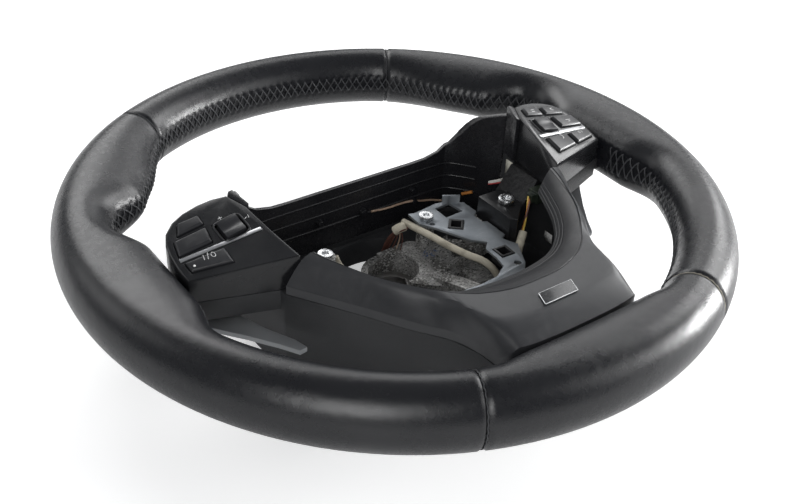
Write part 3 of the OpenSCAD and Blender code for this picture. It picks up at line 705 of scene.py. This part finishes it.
def leather_panel(name):
    """One leather panel of the rim with rolled edges at its seams."""
    t0, t1 = PANELS[name]
    t0, t1 = t0 + SEAM_GAP / 2, t1 - SEAM_GAP / 2

    def place(u, v):
        t = t0 + (t1 - t0) * u
        x = 2 * v - 1
        f = 180 + 180 * x * (0.5 + 0.5 * abs(x))
        edge = min(t - t0, t1 - t)
        depth = SEAM_DEEP * (1 - math.sqrt(max(0.0, 1 - (1 - min(1.0, edge / SEAM_ROLL)) ** 2)))
        return grip_point(t, f, depth + pucker(t, f))

    bm = mapped_grid(int((t1 - t0) / PANEL_STEP), PANEL_ACROSS, place)
    obj = new_piece(name + "_look", bm, "leather")
    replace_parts(obj, name)


def cross_stitch():
    """Crossing threads all along the inner side of the rim, left out at the spokes."""
    routes = []
    count = int(360 / STITCH_PITCH)
    for k in range(count):
        t = k * 360 / count
        if not (stitched(t) and stitched(t + STITCH_PITCH)):
            continue
        for way in (-1, 1):
            a, b = STITCH_MID - way * STITCH_HALF, STITCH_MID + way * STITCH_HALF
            routes.append([
                grip_point(t, a, STITCH_END),
                grip_point(t + 0.1, a + 0.12 * (b - a), STITCH_SHOULDER),
                grip_point(t + STITCH_PITCH / 2, STITCH_MID, STITCH_CROSSING[way]),
                grip_point(t + STITCH_PITCH - 0.1, b - 0.12 * (b - a), STITCH_SHOULDER),
                grip_point(t + STITCH_PITCH, b, STITCH_END)])
    wire("cross_stitch", routes, STITCH_THREAD, "thread", resolution=1, steps=2)


def seam_threads():
    """Zigzag thread deep in each of the four seams, worn pale in the lower right one."""
    for name, angle, skin in (("upper_right", 57, "thread"), ("upper_left", 123, "thread"),
                              ("lower_left", 246, "thread"), ("lower_right", -66, "pale_thread")):
        route = [grip_point(angle + SEAM_ZIGZAG * (1 if k % 2 else -1), k * 6, SEAM_DEPTH)
                 for k in range(61)]
        wire("seam_thread_" + name, [route], SEAM_THREAD, skin, resolution=1, steps=2)


# Switch pods

def pod_point(side, x, y, z=0.0):
    """A place on a switch face, z above it; side is -1 on the left and 1 on the right."""
    p = POD_ORIGIN + x * POD_X + y * POD_Y + z * POD_N
    return wheel_point(-side * p.x, p.y, p.z)


def pod_normal(side):
    """Direction straight out of a switch face."""
    return Vector((-side * POD_N.x, POD_N.y, POD_N.z))


def pod_housing(node, side):
    """Pod shell whose face rolls over widely towards 6 o'clock and narrowly elsewhere."""
    bm = clean_copy(node)
    normal = pod_normal(side)
    weight = bm.edges.layers.float.new("bevel_weight_edge")
    for e in bm.edges:
        if len(e.link_faces) != 2 or e.calc_face_angle() < 0.5:
            continue
        e[weight] = 0.1
        face = [f for f in e.link_faces if f.normal.dot(normal) > 0.99]
        walls = [f for f in e.link_faces if abs(f.normal.z) < 0.002]
        if face and walls:
            e[weight] = 1.0 if walls[0].normal.y < -0.8 else 0.4
    obj = new_piece(node + "_look", bm, "gloss_plastic")
    m = bevel_modifier(obj, POD_ROLL, 4)
    m.limit_method = "WEIGHT"
    m.use_clamp_overlap = False
    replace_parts(obj, node)


def key_cap(node, side):
    """Key whose top rises inside a sloping edge all round."""
    bm = clean_copy(node)
    normal = pod_normal(side)
    facing = [f for f in bm.faces if f.normal.dot(normal) > 0.9]
    top = max(facing, key=lambda f: f.calc_center_median().dot(normal))
    bmesh.ops.inset_region(bm, faces=[top], thickness=KEY_SLOPE * MM, depth=KEY_RISE * MM,
                           use_even_offset=True)
    obj = new_piece(node + "_look", bm, "key_plastic", node + "_body")
    bevel_modifier(obj, KEY_EDGE, 3)
    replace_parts(obj, node)


def on_pod(side, stroke, z):
    """A stroke of places on a switch face, lifted z above it."""
    return [pod_point(side, x, y, z) for x, y in stroke]


def ring(cx, cy, rx, ry, sides, power=1.0):
    """Closed ellipse of places on a switch face, or a rounded rectangle for a power under 1."""
    turns = [2 * math.pi * k / sides for k in range(sides + 1)]
    return [(cx + rx * spow(math.cos(a), power), cy + ry * spow(math.sin(a), power)) for a in turns]


def arc(cx, cy, rx, ry, turns):
    """Part of an ellipse on a switch face, its angles in radians to the left of the y axis."""
    return [(cx - rx * math.sin(a), cy + ry * math.cos(a)) for a in turns]


def marks(name, side, strokes, z, body, radius=0.17):
    """Printed lines of a pictogram, lying on a key or on the face."""
    wire(name, [on_pod(side, stroke, z) for stroke in strokes], radius, "key_mark", body, resolution=1)


def pod_details():
    """Rings round the rockers, pictograms and the small light of the left pod."""
    for side, name, rocker in ((-1, "left", "speed_rocker"), (1, "right", "volume_rocker")):
        outline = ring(-12, 10.9, 7.6, 7.0, RING_SIDES, RING_POWER)
        wire(name + "_rocker_ring", [on_pod(side, outline, 0.1)], 0.55, "key_plastic")
        outline = ring(-12, 11, 4.6, 4.3, RING_SIDES, RING_POWER)
        wire(name + "_rocker_edge", [on_pod(side, outline, 0.9)], 0.32, "key_plastic",
             rocker + "_body", resolution=2)
    marks("plus_mark", -1, [[(-14.8, 19.7), (-12.6, 19.7)], [(-13.7, 18.7), (-13.7, 20.7)]],
          0.1, "wheel", 0.2)
    marks("minus_mark", -1, [[(-3.6, 12.2), (-2.2, 12.6)], [(-1.4, 11.6), (-1.0, 13.6)]], 0.1, "wheel")
    marks("power_mark", -1, [[(-33.8, -0.4), (-33.0, 2.8)], [(-32.0, -0.9), (-30.4, 3.0)],
                             ring(-28.6, 0.2, 1.0, 1.5, 12)], KEY_TOP, "power_key_body")
    handset = arc(-13.9, -2.0, 1.7, 1.9, (0.2, 0.7, 1.2, 1.7, 2.2, 2.7))
    marks("handset_mark", 1, [handset], KEY_TOP, "phone_key_body", 0.3)
    waves = [arc(-33.4, 0.8, r, r, (1.0, 1.3, 1.6, 1.9)) for r in (1.0, 1.9)]
    marks("voice_mark", 1, waves + [ring(-32.6, 0.8, 0.7, 0.9, 8)], KEY_TOP, "voice_key_body", 0.14)
    for name, strokes in (
            ("source", [[(-35.5, 13.6), (-31.5, 13.4)], [(-34.5, 12.0), (-32.5, 11.9)]]),
            ("next", [[(-29.5, 23.6), (-27.5, 24.7), (-29.5, 25.8)]]),
            ("mode", [[(-13.0, 23.6), (-10.5, 23.6)], [(-13.0, 25.2), (-10.5, 25.2)]])):
        marks(name + "_mark", 1, strokes, KEY_TOP, name + "_key_body")
    bm = bmesh.new()
    bmesh.ops.create_uvsphere(bm, u_segments=16, v_segments=10, radius=0.75 * MM)
    bmesh.ops.translate(bm, verts=bm.verts, vec=pod_point(-1, -39.6, -0.6, KEY_TOP - 0.35))
    new_piece("power_light", bm, "key_light", "power_key_body")


# Lower trim

def spline(points, u):
    """Smooth curve through half an outline, mirrored for a negative u."""
    if u < 0:
        x, y = spline(points, -u)
        return -x, y
    last = len(points) - 1
    i = min(last - 1, int(u))
    t = u - i

    def at(k):
        if k < 0:
            return -points[-k][0], points[-k][1]
        if k > last:
            return tuple(2 * points[last][j] - points[last - 1][j] for j in (0, 1))
        return points[k]

    a, b, c, d = (at(i + k) for k in (-1, 0, 1, 2))
    return tuple(0.5 * (2 * b[j] + (c[j] - a[j]) * t + (2 * a[j] - 5 * b[j] + 4 * c[j] - d[j]) * t * t
                        + (3 * b[j] - a[j] - 3 * c[j] + d[j]) * t ** 3) for j in (0, 1))


def trim_heights(u, width):
    """Two closed sections, given as parts across and heights.

    The crown goes across from 0 to 1, and the slope to the lip from 1 to 2.
    """
    low = 12 - 9 * smooth(2, 3.4, abs(u))
    shoulder = 0.45 + 0.47 * smooth(2.6, 4.6, abs(u))

    def crown(f):
        return low + (TRIM_TOP - low) * math.sin(math.pi / 2 * min(1, f / shoulder))

    wall = TRIM_WALL / width
    groove = [1 - (GROOVE_IN + k * GROOVE_WIDE) / width for k in (1.0, 0.7, 0.3, 0.0)]
    bed = TRIM_TOP - GROOVE_DEEP
    over = [(f, crown(f)) for f in (0, 0.02, 0.05, 0.09, 0.13, 0.18, 0.24, 0.31, 0.38, 0.45, 0.55, 0.68)]
    over += [(groove[0], TRIM_TOP), (groove[1], bed), (groove[2], bed),
             (groove[3], TRIM_TOP - 0.05), (1, TRIM_TOP - 0.45)]
    fall = TRIM_TOP - 0.8 - LIP_Z
    slope = []
    for k in range(SLOPE_STEPS - 1):
        part = k / SLOPE_STEPS
        swell = SLOPE_SWELL * math.sin(math.pi * part)
        line = SLOPE_LINE_DEEP * sum(bump(part, at, 0.015) for at in SLOPE_LINES)
        slope.append((1 + part, LIP_Z + fall * (1 - part) + swell - line))
    lip = [(1.97, LIP_Z + 0.25), (2, LIP_Z - 0.35), (2, LIP_Z - LIP_T)]
    back = [(1, TRIM_TOP - 3.8), (0.5, crown(0.5) - 2.8), (0.32, crown(0.32) - 2.9),
            (max(wall, 0.2), crown(0.2) - 3.2), (wall, low - 2.2), (wall, TRIM_LOW)]
    top = [(0, TRIM_LOW), (0, low - 1.5), (0, low - 0.4)] + over + back
    return top, slope + lip + [(1.5, LIP_Z + fall / 2 - 2), (1, TRIM_TOP - 3.8)]


def trim_sweep(part, name, skin):
    """One of the two sections swept round the opening."""
    half = len(TRIM_OUT) - 1
    count = len(trim_heights(0, 30)[part])
    steps = half * 2 * TRIM_STEPS

    def place(u, v):
        k = round(v * count) % count
        x = (2 * round(u * steps) / steps - 1) * half
        o, i = spline(TRIM_OUT, x), spline(TRIM_IN, x)
        f, z = trim_heights(x, math.hypot(i[0] - o[0], i[1] - o[1]))[part][k]
        if f > 1:
            o, i, f = i, spline(TRIM_LIP, x), f - 1
        return wheel_point(o[0] + f * (i[0] - o[0]), o[1] + f * (i[1] - o[1]), z)

    bm = mapped_grid(steps, count, place)
    bmesh.ops.holes_fill(bm, edges=[e for e in bm.edges if e.is_boundary], sides=0)
    bmesh.ops.recalc_face_normals(bm, faces=bm.faces)
    return new_piece(name, bm, skin, smooth_angle=32)


def trim_look():
    """Trim with a groove parallel to the opening and a darker slope with fine lines inside it."""
    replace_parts(trim_sweep(0, "lower_trim_look", "trim_plastic"), "lower_trim")
    trim_sweep(1, "trim_slope", "slope_plastic")
    corners = [(x, y, BADGE_EDGE_Z) for x, y in BADGE_CORNERS]
    held_wire("badge_edge", zip(corners, corners[1:] + corners[:1]), 0.3, "chrome", resolution=2)


# Wires, tape and the ribbed wall of the cavity

def main_wires():
    """Taped harness, and the wires that feed it from below."""
    harness = [(21.3, 20.5, -31.8), (21.5, 18.5, -31.4), (22.2, 10, -30.4), (24.4, -2, -29.9),
               (27, -15, -30.2), (32, -29, -31.2), (37.6, -38, -33), (41.5, -44, -38), (42.5, -47, -42.6)]
    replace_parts(held_wire("taped_harness_look", [harness], 2.15, "tape", resolution=5), "taped_harness")
    feeds = [[(8 + 2 * k, 27, -62), (8 + 2 * k, 23, -50), (11 + 1.8 * k, 19.5, -38),
              (14, 13 + 1.9 * k, -31.5), (18.5, 12.4 + 1.9 * k, -30.8)] for k in range(3)]
    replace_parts(held_wire("feed_wires_look", feeds, 0.75, "brown_wire"), "feed_wires")


def pod_leads():
    """Three wires from the right pod down into the cavity, taped together."""
    for k, skin in enumerate(("yellow_wire", "orange_wire", "brown_wire")):
        route = [(80, -25 - k, -8.4 - 1.2 * k), (76 - k, -29.5 - 0.6 * k, -19 - 1.2 * k),
                 (64 - 0.8 * k, -38.5, -29 - 1.2 * k), (57, -42 - 2 * k, -38 - k),
                 (49, -42 - 2 * k, -44.9)]
        obj = held_wire("pod_wire_" + skin, [route], 0.6, skin)
        if k == 0:
            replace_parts(obj, "pod_wires")
    sleeve = [(70, -34.5, -25.5), (64, -38.8, -30.8), (58, -42.6, -38.3), (52, -44, -43.6)]
    held_wire("pod_wire_tape", [sleeve], 2.6, "tape", resolution=5)


def small_leads():
    """Loose strands, sleeves and short leads in the cavity."""
    collar = [(12.6, 17.2, -33.6), (14.6, 15.4, -31.2), (18.0, 14.6, -30.6)]
    held_wire("feed_tape", [collar], 3.0, "tape", resolution=5)
    for k, skin in enumerate(("beige_wire", "brown_wire", "brown_wire", "beige_wire", "brown_wire")):
        spread = [(8.5 + 1.4 * k, 24 - 2.4 * k, -56), (9 + 1.4 * k, 23.6 - 2.6 * k, -50 + k),
                  (12.4 + 0.9 * k, 21 - 1.9 * k, -41 + 0.6 * k), (15.6, 18.6 - 0.9 * k, -33)]
        held_wire("feed_strand_%d" % k, [spread], 0.42, skin, resolution=2)
    guard = [(-33.8, 12.6, -33), (-33.2, 11.3, -36), (-31.4, 9.6, -40), (-28.6, 8.5, -44)]
    held_wire("boss_sleeve", [guard], 2.3, "tape", resolution=5)
    for k in range(2):
        tail = [(-29, 8.2 + k, -43.6), (-27, 7.2 + 1.4 * k, -45.4), (-24, 6 + 2.4 * k, -47)]
        held_wire("sleeve_wire_%d" % k, [tail], 0.6, "brown_wire", resolution=2)
    for k, skin in enumerate(("red_wire", "white_wire", "white_wire")):
        lead = [(93.6, 2.5 + 1.6 * k, -15.5), (92.6, 7 + 1.4 * k, -18 + 0.4 * k),
                (90.8, 13, -21.5 + 1.1 * k), (87.6, 19, -24.6 + 0.9 * k)]
        held_wire("side_lead_%d" % k, [lead], 0.5, skin)
    held_wire("lead_clip", [[(78.5, 33.5, -36.5), (82.5, 28.2, -33.6)]], 1.1, "orange_wire")
    along = [(14, 44.4, -34.5), (26, 44.4, -36), (38, 44.4, -36.2), (46, 43.9, -36.8),
             (53, 44.4, -39.2), (62, 44.4, -41.5), (70, 43.6, -44)]
    held_wire("wall_lead", [along], 0.7, "beige_wire")


def wall_ribs():
    """Ribs and bosses moulded on the inside of the upper cover."""
    path = [*RIB_HALF, RIB_MIDDLE, *((-x, y) for x, y in reversed(RIB_HALF))]
    for k, z in enumerate(RIB_HEIGHTS):
        held_wire("wall_rib_%d" % k, [[(x, y, z) for x, y in path]], 0.7, "smooth_plastic", resolution=2)
    for k, (x, z, r) in enumerate(BOSSES):
        bm = bmesh.new()
        bmesh.ops.create_cone(bm, cap_ends=True, segments=24, radius1=r * MM, radius2=0.8 * r * MM,
                              depth=BOSS_DEEP * MM)
        bmesh.ops.rotate(bm, verts=bm.verts, matrix=Matrix.Rotation(math.radians(90), 3, "X"))
        bmesh.ops.translate(bm, verts=bm.verts, vec=wheel_point(x, BOSS_Y, z))
        bevel_modifier(new_piece("wall_boss_%d" % k, bm, "smooth_plastic", smooth_angle=EDGE_ANGLE), 0.3)


# Light, floor and camera

def set_world():
    """Soft light from all sides, with plain white behind the wheel."""
    world = bpy.data.worlds.new("studio")
    bpy.context.scene.world = world
    world.use_nodes = True
    tree = world.node_tree
    plain = tree.nodes["Background"]
    plain.inputs["Color"].default_value = (*SKY_COLOUR, 1)
    plain.inputs["Strength"].default_value = SKY_STRENGTH
    white = tree.nodes.new("ShaderNodeBackground")
    white.inputs["Color"].default_value = (1, 1, 1, 1)
    white.inputs["Strength"].default_value = 1.0
    path = tree.nodes.new("ShaderNodeLightPath")
    mix = tree.nodes.new("ShaderNodeMixShader")
    tree.links.new(path.outputs["Is Camera Ray"], mix.inputs["Fac"])
    tree.links.new(plain.outputs[0], mix.inputs[1])
    tree.links.new(white.outputs[0], mix.inputs[2])
    tree.links.new(mix.outputs[0], tree.nodes["World Output"].inputs["Surface"])


def make_floor():
    """White floor under the wheel, made brighter for the camera by a glow of its own."""
    bm = bmesh.new()
    bmesh.ops.create_grid(bm, x_segments=4, y_segments=4, size=FLOOR_SIZE)
    bmesh.ops.translate(bm, verts=bm.verts, vec=(0, 0, FLOOR_Z))
    mesh = bpy.data.meshes.new("floor")
    bm.to_mesh(mesh)
    bm.free()
    material = bpy.data.materials.new("floor")
    material.use_nodes = True
    tree = material.node_tree
    shader = tree.nodes["Principled BSDF"]
    shader.inputs["Base Color"].default_value = (FLOOR_SHADE, FLOOR_SHADE, FLOOR_SHADE, 1)
    shader.inputs["Roughness"].default_value = 0.9
    shader.inputs["Emission Color"].default_value = (1, 1, 1, 1)
    path = tree.nodes.new("ShaderNodeLightPath")
    glow = math_node(tree, "MULTIPLY", path.outputs["Is Camera Ray"], FLOOR_GLOW)
    tree.links.new(glow, shader.inputs["Emission Strength"])
    mesh.materials.append(material)
    floor = bpy.data.objects.new("floor", mesh)
    bpy.context.scene.collection.objects.link(floor)


def area_light(name, at, side, power):
    """Square light that looks at the wheel."""
    data = bpy.data.lights.new(name, "AREA")
    data.energy = power
    data.shape = "SQUARE"
    data.size = side
    obj = bpy.data.objects.new(name, data)
    obj.location = at
    obj.rotation_euler = (Vector(LIT_PLACE) - Vector(at)).to_track_quat("-Z", "Y").to_euler()
    bpy.context.scene.collection.objects.link(obj)


def set_camera():
    """Camera where the photograph was taken, turned a little about its own line of sight."""
    data = bpy.data.cameras.new("camera")
    data.sensor_width = CAMERA_SENSOR
    data.lens = CAMERA_LENS
    data.clip_start = 0.01
    cam = bpy.data.objects.new("camera", data)
    look = (Vector(CAMERA_TO) - Vector(CAMERA_AT)).to_track_quat("-Z", "Y").to_matrix()
    roll = Matrix.Rotation(math.radians(CAMERA_ROLL), 3, "Z")
    cam.matrix_world = Matrix.Translation(CAMERA_AT) @ (look @ roll).to_4x4()
    bpy.context.scene.collection.objects.link(cam)
    bpy.context.scene.camera = cam


def view_settings():
    """Colours as they are, without a film look."""
    s = bpy.context.scene.view_settings
    s.view_transform = "Standard"
    s.look = "None"
    s.exposure = 0
    s.gamma = 1


set_world()
make_floor()
for light in LIGHTS:
    area_light(*light)
set_camera()
view_settings()

for panel in PANELS:
    leather_panel(panel)
cross_stitch()
seam_threads()

for node, skin, width in DRESSED:
    dressed(node, skin, width)

pod_housing("left_housing", -1)
pod_housing("right_housing", 1)
pod_details()
trim_look()
main_wires()
pod_leads()
small_leads()
wall_ribs()

for node in ("set_key", "resume_key", "power_key"):
    key_cap(node, -1)
for node in ("mode_key", "next_key", "source_key", "phone_key", "voice_key"):
    key_cap(node, 1)
for node in ("speed_rocker", "volume_rocker"):
    dressed(node, "key_plastic", 0.8, 3, body=node + "_body")
for node in ("left_paddle", "right_paddle"):
    dressed(node, "paddle_plastic", 0.5, 3, body=node + "_body")

for node, skin in HIDDEN:
    NODES[node].data.materials.clear()
    NODES[node].data.materials.append(SKINS[skin])
